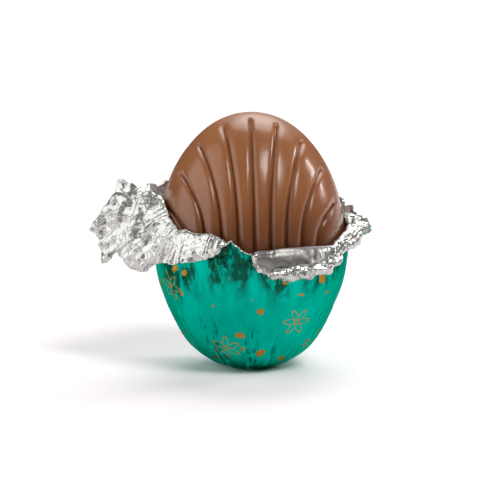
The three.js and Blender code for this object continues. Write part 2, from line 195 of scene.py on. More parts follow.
def egg_mesh():
    per_lobe = (1 - np.cos(np.pi * np.arange(COLUMNS_PER_LOBE) / COLUMNS_PER_LOBE)) / 2
    per_lobe = mix(per_lobe, np.arange(COLUMNS_PER_LOBE) / COLUMNS_PER_LOBE, 0.3)
    lobes = (np.arange(-GROOVES_EACH_SIDE - 1, GROOVES_EACH_SIDE + 1)[:, None] + per_lobe).ravel()
    lobes = np.append(lobes, GROOVES_EACH_SIDE + 1)
    above = 1 - (1 - np.linspace(0, 1, ROWS_ABOVE_WIDEST)) ** 1.35
    along = np.concatenate([np.linspace(-1, 0, ROWS_BELOW_WIDEST)[:-1], above])
    lobe_grid, along_grid = np.meshgrid(lobes, along)
    across, up = lobe_place(lobe_grid, along_grid)
    depth = scallop_depth(lobe_grid, along_grid, across, up)
    scallops = fan_direction(across, up)

    inner = lobes[np.abs(lobes) <= GROOVES_EACH_SIDE]
    upwards = along[1:-1]
    angles = np.concatenate([
        np.radians(GROOVE_FAN_DEGREES * inner),
        border_angle(1, upwards[::-1]),
        math.pi - lower_end_angle(inner[::-1]),
        border_angle(-1, upwards),
        np.radians([-GROOVE_FAN_DEGREES * GROOVES_EACH_SIDE]),
    ])
    share = np.linspace(0, 1, BAND_ROWS)[:, None]
    border = fan_direction(BORDER_SHARE * np.sin(angles), BORDER_SHARE * np.cos(angles))
    seam = np.stack([np.sin(angles), np.zeros_like(angles), np.cos(angles)], -1)
    band = mix(border[None], seam[None], share[..., None])
    band /= np.linalg.norm(band, axis=-1, keepdims=True)
    ridge = SEAM_RIDGE_HEIGHT * np.exp(-(((1 - share) / SEAM_RIDGE_WIDTH) ** 2))
    band_depth = BORDER_DEPTH * (1 - share) - ridge + np.zeros_like(angles)

    points, quads, first = [], [], 0
    for side in (1, -1):
        for direction, sink in ((scallops, depth), (band, band_depth)):
            grid = casting_points(direction, sink, side)
            rows, columns = grid.shape[:2]
            points.append(grid.reshape(-1, 3))
            quads.append(strip_faces(rows, columns, first, flip=side < 0))
            first += rows * columns
    return np.concatenate(points), np.concatenate(quads)


class Recipe:
    """A material under construction: its nodes are added and joined by short calls."""

    def __init__(self, name):
        self.material = bpy.data.materials.new(name)
        self.material.use_nodes = True
        self.tree = self.material.node_tree
        self.surface = self.tree.nodes["Principled BSDF"]
        self.place = self.add("ShaderNodeTexCoord").outputs["Object"]

    def add(self, kind, **settings):
        node = self.tree.nodes.new(kind)
        for key, value in settings.items():
            setattr(node, key, value)
        return node

    def join(self, source, target):
        if isinstance(source, (int, float, tuple)):
            target.default_value = source
        else:
            self.tree.links.new(source, target)

    def noise(self, size_mm, detail=3.0, place=None, rough=0.55):
        node = self.add("ShaderNodeTexNoise")
        self.join(place or self.place, node.inputs["Vector"])
        node.inputs["Scale"].default_value = 1 / (size_mm * MM)
        node.inputs["Detail"].default_value = detail
        node.inputs["Roughness"].default_value = rough
        return node.outputs["Fac"]

    def mark(self, name, output="Fac"):
        """The value that every point of the mesh carries under this name."""
        return self.add("ShaderNodeAttribute", attribute_name=name).outputs[output]

    def axes(self, place):
        node = self.add("ShaderNodeSeparateXYZ")
        self.join(place, node.inputs[0])
        return node.outputs

    def cells(self, size_mm, feature="F1", output="Distance", place=None):
        node = self.add("ShaderNodeTexVoronoi", feature=feature)
        self.join(place or self.place, node.inputs["Vector"])
        node.inputs["Scale"].default_value = 1 / (size_mm * MM)
        return node.outputs[output]

    def stretched(self, x, y, z):
        node = self.add("ShaderNodeVectorMath", operation="MULTIPLY")
        self.join(self.place, node.inputs[0])
        node.inputs[1].default_value = (x, y, z)
        return node.outputs[0]

    def calc(self, a, b, operation="MULTIPLY", clamp=False):
        node = self.add("ShaderNodeMath", operation=operation, use_clamp=clamp)
        self.join(a, node.inputs[0])
        self.join(b, node.inputs[1])
        return node.outputs[0]

    def ramp(self, value, low, high, to_low=0.0, to_high=1.0):
        node = self.add("ShaderNodeMapRange", interpolation_type="SMOOTHSTEP")
        self.join(value, node.inputs["Value"])
        ends = ("From Min", low), ("From Max", high), ("To Min", to_low), ("To Max", to_high)
        for key, number in ends:
            node.inputs[key].default_value = number
        return node.outputs["Result"]

    def blend(self, share, a, b):
        node = self.add("ShaderNodeMix", data_type="RGBA")
        self.join(share, node.inputs["Factor"])
        self.join(a, node.inputs["A"])
        self.join(b, node.inputs["B"])
        return node.outputs["Result"]

    def bump(self, height, height_mm, onto=None):
        node = self.add("ShaderNodeBump")
        self.join(height, node.inputs["Height"])
        node.inputs["Distance"].default_value = height_mm * MM
        node.inputs["Strength"].default_value = 1.0
        if onto is not None:
            self.join(onto, node.inputs["Normal"])
        return node.outputs["Normal"]


def paint(red, green, blue):
    """A colour as it looks, 0 to 255, turned into the shader's linear light."""
    shares = [value / 255 for value in (red, green, blue)]
    linear = [((v + 0.055) / 1.055) ** 2.4 if v > 0.04 else v / 12.92 for v in shares]
    return (*linear, 1.0)


def milk_chocolate():
    recipe = Recipe("milk_chocolate")
    surface = recipe.surface.inputs
    cloud = recipe.ramp(recipe.noise(6.0, detail=4), 0.35, 0.68)
    base = recipe.blend(cloud, paint(142, 90, 56), paint(148, 95, 60))
    grain = recipe.ramp(recipe.noise(0.5, detail=5), 0.3, 0.75)
    base = recipe.blend(recipe.calc(grain, 0.2), base, paint(156, 104, 68))
    # Darker towards the bottom: painted shade, as the lower lobes get less light than the top.
    low_painted_shading = recipe.ramp(recipe.axes(recipe.place)[2], 17.5 * MM, 30 * MM, 0.92, 0.0)
    base = recipe.blend(low_painted_shading, base, paint(94, 52, 31))
    # Small pits: real dents in the bump below, their colour darkened as painted shade in them.
    pit_with_painted_shade = recipe.ramp(recipe.cells(1.9), 0.0, 0.055, 1.0, 0.0)
    base = recipe.blend(recipe.calc(pit_with_painted_shade, 0.5), base, paint(84, 50, 34))
    recipe.join(base, surface["Base Color"])
    recipe.join(recipe.ramp(recipe.noise(2.2, detail=4), 0.25, 0.8, 0.21, 0.28), surface["Roughness"])
    surface["IOR"].default_value = 1.46
    surface["Subsurface Weight"].default_value = 0.06
    surface["Subsurface Radius"].default_value = (0.9 * MM, 0.4 * MM, 0.2 * MM)
    surface["Subsurface Scale"].default_value = 1.0
    skin = recipe.bump(recipe.noise(0.35, detail=4), 0.012)
    skin = recipe.bump(recipe.noise(2.6, detail=2), 0.05, skin)
    recipe.join(recipe.bump(pit_with_painted_shade, -0.05, skin), surface["Normal"])
    return recipe.material


egg = make_piece("chocolate_egg_casting", *egg_mesh(), merge_mm=0.004)
egg.data.shade_smooth()
egg.data.materials.append(milk_chocolate())
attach(egg, "root")
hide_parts("chocolate_egg")

# ---------------------------------------------------------------------------------------
# The wrapper. One sheet of thin aluminium foil, teal lacquer with gold specks outside and
# bright metal inside, smoothed round the egg by hand. Its upper half has been torn open:
# folded down in front, pulled out to the left and right, and left standing at the back.
FOIL_THICKNESS = 0.05
FOIL_STANDOFF = 0.3  # from the egg to the middle of the sheet
FOIL_BOTTOM = 0.03
# how much further the foil stands off in bands round it, where folds gather: height, spread, slack
SLACK_BANDS = ((4.2, 3.5, 0.3), (12.8, 3.4, 0.26))
REST_RADIUS = 3.0

# turn in degrees from the front, height of the rim, torn edge x, y, z, fold, curl of the edge
FOIL_STATIONS = np.array([
    (-180, 26.1, 0.0, 13.0, 27.9, 0.0, 0.20),
    (-168, 26.4, -2.8, 12.4, 28.9, 0.0, 0.15),
    (-156, 26.0, -5.5, 11.9, 27.7, 0.0, 0.30),
    (-142, 26.3, -8.4, 10.1, 28.6, 0.0, 0.15),
    (-128, 25.8, -10.9, 8.3, 26.9, 0.0, 0.25),
    (-114, 24.8, -12.7, 5.6, 26.6, 0.0, 0.15),
    (-103, 24.7, -13.4, 3.8, 26.1, 0.1, 0.10),
    (-94, 24.7, -14.4, 2.4, 26.7, 0.3, 0.10),
    (-85, 25.0, -16.4, 0.8, 26.9, 0.7, 0.15),
    (-76, 25.4, -19.2, -1.0, 28.4, 1.0, 0.10),
    (-72, 25.1, -21.4, -1.5, 24.4, 1.0, 0.20),
    (-69, 24.8, -23.3, -2.0, 21.0, 1.0, 0.20),
    (-66, 24.3, -22.4, -2.5, 19.3, 1.0, 0.20),
    (-62, 23.8, -21.7, -3.0, 16.0, 1.0, 0.15),
    (-59, 23.3, -19.4, -4.0, 17.5, 1.0, 0.15),
    (-55, 22.6, -16.4, -5.5, 15.3, 1.0, 0.15),
    (-51, 22.1, -14.9, -6.7, 16.0, 1.0, 0.15),
    (-48, 21.6, -14.1, -7.3, 16.8, 1.0, 0.12),
    (-42, 21.9, -12.0, -9.2, 17.2, 1.0, 0.10),
    (-36, 21.5, -10.1, -10.8, 17.4, 1.0, 0.10),
    (-24, 21.6, -7.1, -12.7, 18.0, 1.0, 0.10),
    (-18, 21.1, -5.3, -13.4, 18.7, 1.0, 0.08),
    (-12, 20.1, -3.0, -13.6, 20.7, 0.3, 0.05),
    (-9, 18.4, -2.2, -13.6, 20.1, 0.0, 0.05),
    (-3, 18.0, -0.7, -13.7, 19.3, 0.0, 0.05),
    (0, 18.3, 0.1, -13.8, 19.3, 0.2, 0.05),
    (2, 19.2, 0.4, -14.2, 17.9, 1.0, 0.20),
    (5, 19.3, 1.0, -14.2, 17.7, 1.0, 0.50),
    (11, 19.4, 2.8, -14.0, 17.0, 1.0, 0.72),
    (18, 19.6, 4.2, -13.8, 17.1, 1.0, 0.88),
    (31, 19.6, 8.0, -12.6, 17.3, 1.0, 0.82),
    (42, 19.4, 10.2, -11.2, 17.8, 1.0, 0.75),
    (53, 19.2, 12.5, -9.0, 18.5, 1.0, 0.68),
    (59, 19.8, 13.6, -7.2, 19.0, 1.0, 0.62),
    (66, 20.3, 14.6, -5.2, 19.7, 1.0, 0.55),
    (75, 20.7, 16.1, -3.2, 20.7, 1.0, 0.45),
    (82, 21.1, 17.4, -2.0, 20.6, 1.0, 0.40),
    (89, 21.4, 17.6, -1.0, 21.2, 1.0, 0.32),
    (97, 21.6, 16.6, 0.8, 21.6, 0.8, 0.20),
    (104, 22.0, 14.9, 3.0, 22.8, 0.3, 0.15),
    (112, 22.3, 13.8, 5.0, 23.7, 0.0, 0.15),
    (122, 23.2, 12.4, 7.0, 24.6, 0.0, 0.25),
    (134, 24.2, 10.3, 8.9, 26.7, 0.0, 0.15),
    (147, 25.0, 7.8, 11.0, 26.5, 0.0, 0.30),
    (158, 25.8, 5.1, 11.8, 28.2, 0.0, 0.20),
    (169, 25.8, 2.6, 12.7, 27.3, 0.0, 0.25),
    (180, 26.1, 0.0, 13.0, 27.9, 0.0, 0.20),
])
FOLD_RISE = 0.5
FOLD_REACH = 1.0
FOLD_DRAW = 0.12
UPRIGHT_DRAW = 0.6

FOIL_COLUMNS = 600
CUP_ROWS = 66
TURN_ROWS = 84
CURL_ROWS = 20
CURL_SWEEP_DEGREES = 290

FACET_AXES = np.array([(0.8, 0.36, 0.48), (-0.6, 0.48, 0.64), (0.0, -0.8, 0.6)])
# facet size, shift, salt, the standoffs from the egg between which the crumples grow, and
# the field values between which they come in, so that some panels stay smooth
CRUMPLES = (
    (4.6, 0.75, 11, 0.5, 3.0, -1.1, -1.0),
    (2.2, 0.3, 23, 0.4, 2.4, -0.6, 0.2),
    (1.15, 0.14, 31, 0.25, 1.4, -0.3, 0.3),
    (0.6, 0.06, 43, 0.2, 1.0, -0.2, 0.4),
)
ROLL_CRUMPLE = 2.2  # how much more the rolled front edge is crumpled, in facets under 2 mm
LARGEST_ON_ROLL = 2
PANEL_SIZE = 3.4
PANEL_SHIFT = 0.42
SMOOTHED_TO_TURN = 38, 56  # where the smoothed front fold ends
STREAK_WIDTH = 0.8  # of the creases along it
STREAK_SHIFT = 0.13
PLEAT_WIDTH = 2.3  # at the rim, from where they fan out
PLEAT_STRETCH = 0.42
PLEAT_SHIFT = 0.16


def scrambled(x, y, z, salt):
    """Whole numbers' scrambled values, from -1 to 1."""
    x, y, z = ((v.astype(np.int64) & 0xFFFFFFFF).astype(np.uint32) for v in (x, y, z))
    with np.errstate(over="ignore"):
        bits = x * np.uint32(374761393) ^ y * np.uint32(668265263) ^ z * np.uint32(2246822519)
        bits ^= np.uint32((salt * 3266489917) & 0xFFFFFFFF)
        bits = (bits ^ (bits >> np.uint32(15))) * np.uint32(2246822519)
        bits = (bits ^ (bits >> np.uint32(13))) * np.uint32(3266489917)
        bits ^= bits >> np.uint32(16)
    return bits / 2147483648.0 - 1.0


def faceted(places, facet, salt):
    """A field of flat facets, values -1 to 1, with sharp creases between them; salt picks one."""
    turned = places @ FACET_AXES.T / facet
    cell = np.floor(turned)
    rest = turned - cell
    order = np.argsort(-rest, axis=-1, kind="stable")
    ordered = np.take_along_axis(rest, order, -1)
    cell = cell.astype(np.int64)
    value = (1 - ordered[..., 0]) * scrambled(cell[..., 0], cell[..., 1], cell[..., 2], salt)
    for i in range(3):
        axis = order[..., i : i + 1]
        np.put_along_axis(cell, axis, np.take_along_axis(cell, axis, -1) + 1, -1)
        share = ordered[..., i] - (ordered[..., i + 1] if i < 2 else 0)
        value = value + share * scrambled(cell[..., 0], cell[..., 1], cell[..., 2], salt)
    return value


def egg_standoff(places):
    scaled = (places - (0, 0, WIDEST_HEIGHT)) / (EGG_HALF_WIDTH, EGG_HALF_DEPTH, EGG_ABOVE_WIDEST)
    return (np.linalg.norm(scaled, axis=-1) - 1) * EGG_HALF_DEPTH


def crumpled(places, fan, streaks, normal, smoothed, rolled):
    """Places after pleating and crumpling, held back where the sheet was smoothed out again."""
    standoff = egg_standoff(places) + 2 * rolled
    pleats = PLEAT_SHIFT * smooth_step(standoff, 0.6, 4.5) * (1 - smoothed)
    pleats = pleats * smooth_step(faceted(places, 4.4, 67), -0.5, 0.3)
    panels = PANEL_SHIFT * smooth_step(standoff, 0.5, 3.0) * (1 - smoothed)
    out = pleats * faceted(fan, PLEAT_WIDTH, 61) + panels * faceted(places, PANEL_SIZE, 53)
    out = out + STREAK_SHIFT * smoothed * smooth_step(standoff, 0.3, 0.7) * faceted(streaks, STREAK_WIDTH, 47)
    moved = places + normal * out[..., None]
    for facet, shift, salt, snug, loose, absent, full in CRUMPLES:
        amount = shift * smooth_step(standoff, snug, loose) * (1 - smoothed)
        if facet < LARGEST_ON_ROLL:
            amount = amount * (1 + ROLL_CRUMPLE * rolled)
        amount = amount * smooth_step(faceted(places, 3.6, salt + 5), absent, full)
        for axis in range(3):
            moved[..., axis] += amount * faceted(places, facet, salt + axis)
    return moved


def wall_direction(turn, height):
    above = height - WIDEST_HEIGHT
    up = above / np.where(above > 0, EGG_ABOVE_WIDEST, EGG_BELOW_WIDEST)
    level = np.sqrt(np.maximum(0, 1 - up**2))
    return np.stack([level * np.sin(turn), -level * np.cos(turn), up], -1)


def foil_columns():
    """Stations at even steps of the foil's length, halfway between its rim and torn edge."""
    turns = np.arange(-180, 180.01, 0.25)
    fine = np.stack([np.interp(turns, FOIL_STATIONS[:, 0], column) for column in FOIL_STATIONS.T], -1)
    rim = form_points(wall_direction(np.radians(turns), fine[:, 1]), FOIL_STANDOFF, 0)
    steps = sum(np.linalg.norm(np.diff(line, axis=0), axis=-1) for line in (rim, fine[:, 2:5]))
    length = np.concatenate([[0], np.cumsum(steps)])
    wanted = length[-1] * np.arange(FOIL_COLUMNS) / FOIL_COLUMNS
    return np.stack([np.interp(wanted, length, column) for column in fine.T], -1)


TEETH = ((1.7, 0.4, 71), (0.6, 0.2, 73))  # size, shift, salt


def tear_teeth(edge):
    """How far the torn edge strays from its smooth line."""
    teeth = np.zeros_like(edge)
    for facet, shift, salt in TEETH:
        teeth += shift * np.stack([faceted(edge, facet, salt + axis) for axis in range(3)], -1)
    return teeth


CRINKLE_HEIGHT = 0.22
CRINKLE_REACH = 3.6  # down from the rim
WRINKLES = 46  # upright ones, from the bottom up
WRINKLE_TOPS = 4.0, 12.5
WRINKLE_WIDTHS = 0.16, 0.34
WRINKLE_HEIGHTS = 0.06, 0.17
WRINKLE_LEANS = -0.06, 0.06


def cup_wrinkles(places, below_rim):
    """How far the snug foil stands up from the egg in facets, crinkles and wrinkles, and two
    marks for painted shade on its lacquer: where it is crumpled hard below the rim, and beside each wrinkle."""
    turn = np.arctan2(places[..., 0], -places[..., 1])
    radius = np.hypot(places[..., 0], places[..., 1])
    stand = 0.05 * np.abs(faceted(places, 3.4, 83))
    for height, spread, slack in SLACK_BANDS:
        stand = stand + slack * np.exp(-(((places[..., 2] - height) / spread) ** 2))
    near_rim = np.exp(-((np.maximum(0, below_rim) / CRINKLE_REACH) ** 2))
    patch = smooth_step(faceted(places * (1, 1, 0.6), 2.6, 89), -0.75, 0.0)
    crinkle = np.abs(faceted(places, 0.9, 97)) + 0.6 * np.abs(faceted(places, 0.45, 101))
    # Foil crumpled hard just below the rim; the lacquer is also painted darker there as painted shade.
    crushed_and_painted_shade = near_rim * patch
    stand = stand + CRINKLE_HEIGHT * crushed_and_painted_shade * crinkle
    creased_and_painted_shade = np.zeros_like(stand)
    draws = np.random.default_rng(5)
    for _ in range(WRINKLES):
        middle = draws.uniform(-math.pi, math.pi)
        top = draws.uniform(*WRINKLE_TOPS)
        width = draws.uniform(*WRINKLE_WIDTHS)
        lean = draws.uniform(*WRINKLE_LEANS)
        height = draws.uniform(*WRINKLE_HEIGHTS)
        wander = 0.25 * np.sin(places[..., 2] * draws.uniform(0.6, 1.6) + draws.uniform(0, 6))
        off = (np.mod(turn - middle + math.pi, 2 * math.pi) - math.pi) * radius
        off = off + lean * places[..., 2] + wander
        reach = smooth_step(top - places[..., 2], 0, 2.5) * smooth_step(places[..., 2], 0.15, 1.0)
        stand = stand + height * reach * np.exp(-((off / width) ** 2))
        # The line beside each wrinkle, where the lacquer is painted darker as painted shade.
        beside = np.exp(-(((off / width - 1.2) / 0.5) ** 2))
        creased_and_painted_shade = np.maximum(creased_and_painted_shade, height / 0.14 * reach * beside)
    return stand, np.stack([crushed_and_painted_shade, creased_and_painted_shade], -1)


FLOWER_SIZE = 2.15  # from the middle to a petal's tip
PETAL_LENGTH = 1.25
FLOWER_HEART = 0.42
FLOWER_LINE = 0.11, 0.16  # half its width, and where its edge has faded
# turn in degrees from the front and height of every printed flower
FLOWER_PLACES = (
    (34, 8.6),
    (-22, 4.7),
    (-58, 13.4),
    (88, 14.0),
    (118, 6.5),
    (163, 12.5),
    (-158, 6.0),
    (-112, 9.5),
)
FAR_OFF = 9.0


def flower_places(places):
    """Every point's place in the flat drawing of its nearest flower; one far off is high above it."""
    drawing, nearest = np.zeros(places.shape), np.full(places.shape[:-1], np.inf)
    for number, (turn, height) in enumerate(FLOWER_PLACES):
        spot = form_points(wall_direction(np.radians([turn]), np.array([height])), 0.3, 0)[0]
        out = spot * (1, 1, 0) / np.linalg.norm(spot[:2])
        out = out + (0, 0, (spot[2] - WIDEST_HEIGHT) / EGG_BELOW_WIDEST)
        out /= np.linalg.norm(out)
        level = np.array([-out[1], out[0], 0]) / np.hypot(out[0], out[1])
        turned = math.radians(23 * number)
        right = level * math.cos(turned) + np.cross(out, level) * math.sin(turned)
        off = places - spot
        away = np.linalg.norm(off, axis=-1)
        above = FAR_OFF * (away > FLOWER_SIZE * 1.5)
        flat = np.stack([off @ right, off @ np.cross(out, right), above], -1)
        drawing[away < nearest] = flat[away < nearest]
        nearest = np.minimum(nearest, away)
    return drawing


def sheet_normals(rows):
    """Directions square to the sheet, towards its printed side."""
    around = np.roll(rows, -1, axis=1) - np.roll(rows, 1, axis=1)
    normal = np.cross(around, np.gradient(rows, axis=0))
    return normal / np.maximum(np.linalg.norm(normal, axis=-1, keepdims=True), 1e-9)


def sheet_rows(stations):
    """The middle of the sheet: up from the resting spot, over the rim, out to the curled edge."""
    turn, rim_height = np.radians(stations[:, 0]), stations[:, 1]
    edge, fold, curl = stations[:, 2:5], stations[:, 5:6], stations[:, 6:7]
    rest_level = math.asin(REST_RADIUS / EGG_HALF_WIDTH)
    rim_level = math.pi / 2 + np.arcsin(wall_direction(turn, rim_height)[:, 2])
    share = np.linspace(0, 1, CUP_ROWS)[:, None]
    level = mix(rest_level, rim_level, share)
    direction = np.stack([np.sin(level) * np.sin(turn), -np.sin(level) * np.cos(turn), -np.cos(level)], -1)
    cup = form_points(direction, FOIL_STANDOFF, FOIL_BOTTOM)
    cover = np.where(fold[:, 0] > 0.5, np.minimum(rim_height, edge[:, 2]), rim_height)
    below_rim = cover - cup[..., 2]
    stand, marks = cup_wrinkles(cup, below_rim)
    cup = form_points(direction, FOIL_STANDOFF + stand, FOIL_BOTTOM)

    rim = cup[-1]
    up = rim - form_points(wall_direction(turn, rim_height - 1), FOIL_STANDOFF, FOIL_BOTTOM)
    up /= np.linalg.norm(up, axis=-1, keepdims=True)
    out = np.stack([np.sin(turn), -np.cos(turn), np.zeros_like(turn)], -1)
    leave = rim + up * FOLD_RISE
    over = mix(rim, edge, FOLD_DRAW) + out * FOLD_REACH + up * FOLD_RISE
    pull = mix(mix(rim, edge, UPRIGHT_DRAW), over, fold)
    t = (np.arange(1, TURN_ROWS + 1) / TURN_ROWS)[:, None, None] ** 0.85
    turned = (1 - t) ** 3 * rim + 3 * (1 - t) ** 2 * t * leave + 3 * (1 - t) * t**2 * pull + t**3 * edge
    teeth = tear_teeth(edge)
    turned = turned + t**9 * teeth
    edge = edge + teeth

    flat = np.concatenate([cup, turned])
    printed_side = sheet_normals(flat)[-1]
    ahead = edge - flat[-3]
    ahead /= np.linalg.norm(ahead, axis=-1, keepdims=True)
    sweep = (np.arange(1, CURL_ROWS + 1) / CURL_ROWS)[:, None, None] * math.radians(CURL_SWEEP_DEGREES)
    radius = curl * (1 - 0.35 * sweep / math.radians(CURL_SWEEP_DEGREES))
    hem = edge - printed_side * (radius * np.cos(sweep) - curl) + ahead * radius * np.sin(sweep)
    rope = edge - printed_side * radius * (np.sin(sweep) + 0.2) + ahead * (curl - radius * np.cos(sweep))
    roped = smooth_step(curl, 0.28, 0.45)
    rows = np.concatenate([flat, mix(hem, rope, roped)])
    fading = 0.3 + 0.7 * np.exp(-np.arange(len(rows) - len(cup)) / 25)
    marks = np.concatenate([marks, marks[-1:] * fading[:, None, None]])
    band = smooth_step(np.arange(len(rows))[:, None], len(flat) - 3, len(flat) + 3)
    length = np.cumsum(np.linalg.norm(np.diff(rows, axis=0, prepend=rows[:1]), axis=-1), axis=0)
    fan = np.stack([rim[:, 0] + 0 * length, rim[:, 1] + 0 * length, PLEAT_STRETCH * length], -1)
    streaks = np.stack([0.2 * fan[..., 0], 0.2 * fan[..., 1], length], -1)
    smoothed = roped[:, 0] * (1 - band) * (1 - smooth_step(stations[:, 0], *SMOOTHED_TO_TURN))
    marks = np.concatenate([marks, smoothed[..., None]], -1)
    return rows, fan, streaks, marks, 0.85 * smoothed, roped[:, 0] * band


def foil_mesh():
    rows, fan, streaks, marks, smoothed, rolled = sheet_rows(foil_columns())
    normal = sheet_normals(rows)
    rows = crumpled(rows, fan, streaks, normal, smoothed, rolled)
    outer, inner = rows + normal * FOIL_THICKNESS / 2, rows - normal * FOIL_THICKNESS / 2
    outer[0, :, 2], inner[0, :, 2] = 0, FOIL_THICKNESS
    outer[..., 2] = np.maximum(outer[..., 2], 0)
    inner[..., 2] = np.maximum(inner[..., 2], FOIL_THICKNESS)
    row_count, columns = rows.shape[:2]
    half = row_count * columns
    outer_faces = strip_faces(row_count, columns, 0, closed=True)
    inner_faces = strip_faces(row_count, columns, half, flip=True, closed=True)
    here = np.arange(columns)
    after = (here + 1) % columns
    last = (row_count - 1) * columns
    lip = np.stack([last + here, last + after, half + last + after, half + last + here], -1)
    middles = np.array([(0, 0, 0), (0, 0, FOIL_THICKNESS)])
    outer_spot = np.stack([np.full(columns, 2 * half), after, here], -1)
    inner_spot = np.stack([np.full(columns, 2 * half + 1), half + here, half + after], -1)
    points = np.concatenate([outer.reshape(-1, 3), inner.reshape(-1, 3), middles])
    marks = np.concatenate([marks.reshape(-1, 3)] * 2 + [np.zeros((2, 3))])
    return points, (outer_faces, outer_spot), (inner_faces, lip, inner_spot), marks


def flat_facets(recipe, size_mm):
    """The height of a crumpled surface whose cells are flat and tilted this way and that."""
    cell = recipe.add("ShaderNodeTexVoronoi")
    cell.inputs["Scale"].default_value = 1 / (size_mm * MM)
    recipe.join(recipe.place, cell.inputs["Vector"])
    offset = recipe.add("ShaderNodeVectorMath", operation="SUBTRACT")
    recipe.join(recipe.place, offset.inputs[0])
    recipe.join(cell.outputs["Position"], offset.inputs[1])
    tilt = recipe.add("ShaderNodeVectorMath", operation="SUBTRACT")
    recipe.join(cell.outputs["Color"], tilt.inputs[0])
    tilt.inputs[1].default_value = (0.5, 0.5, 0.5)
    height = recipe.add("ShaderNodeVectorMath", operation="DOT_PRODUCT")
    recipe.join(offset.outputs[0], height.inputs[0])
    recipe.join(tilt.outputs[0], height.inputs[1])
    return height.outputs["Value"]


FACETS_OF_FOIL = ((2.2, 240), (0.9, 260), (0.45, 170))  # size, steepness


def bright_metal():
    recipe = Recipe("bare_foil")
    surface = recipe.surface.inputs
    surface["Metallic"].default_value = 0.76
    crease_and_painted_shade = None
    for size, width, lowest in ((2.7, 0.03, 0.46), (1.2, 0.05, 0.52)):
        line = recipe.ramp(recipe.cells(size, "DISTANCE_TO_EDGE"), 0.0, width, 1.0, 0.0)
        patches = recipe.ramp(recipe.noise(size * 0.6, detail=2), lowest, lowest + 0.08)
        line = recipe.calc(line, patches)
        crease_and_painted_shade = line if crease_and_painted_shade is None else recipe.calc(crease_and_painted_shade, line, "MAXIMUM")
    smoothed = recipe.mark("smoothed")
    gloss = recipe.ramp(recipe.noise(1.2, detail=4), 0.3, 0.7, 0.1, 0.2)
    recipe.join(recipe.calc(recipe.calc(smoothed, 0.24), gloss, "ADD"), surface["Roughness"])
    crumpled_share = recipe.ramp(smoothed, 0.0, 1.0, 1.0, 0.2)
    crease_and_painted_shade = recipe.calc(crease_and_painted_shade, crumpled_share)
    # The lines along the creases are painted darker grey: painted shade in them; the same lines dent the
    # surface in the bump below.
    base = recipe.blend(recipe.calc(crease_and_painted_shade, 0.62), paint(201, 201, 197), paint(110, 110, 106))
    # The smoothed front band is painted a darker grey than the rest of the sheet: painted shade for the
    # dimmer reflection it shows.
    recipe.join(recipe.blend(smoothed, base, paint(134, 132, 128)), surface["Base Color"])
    skin = recipe.bump(crease_and_painted_shade, 0.03)
    for size, steepness in FACETS_OF_FOIL:
        skin = recipe.bump(recipe.calc(flat_facets(recipe, size), crumpled_share), steepness, skin)
    recipe.join(skin, surface["Normal"])
    return recipe.material


SPECK_SPACING = 2.9


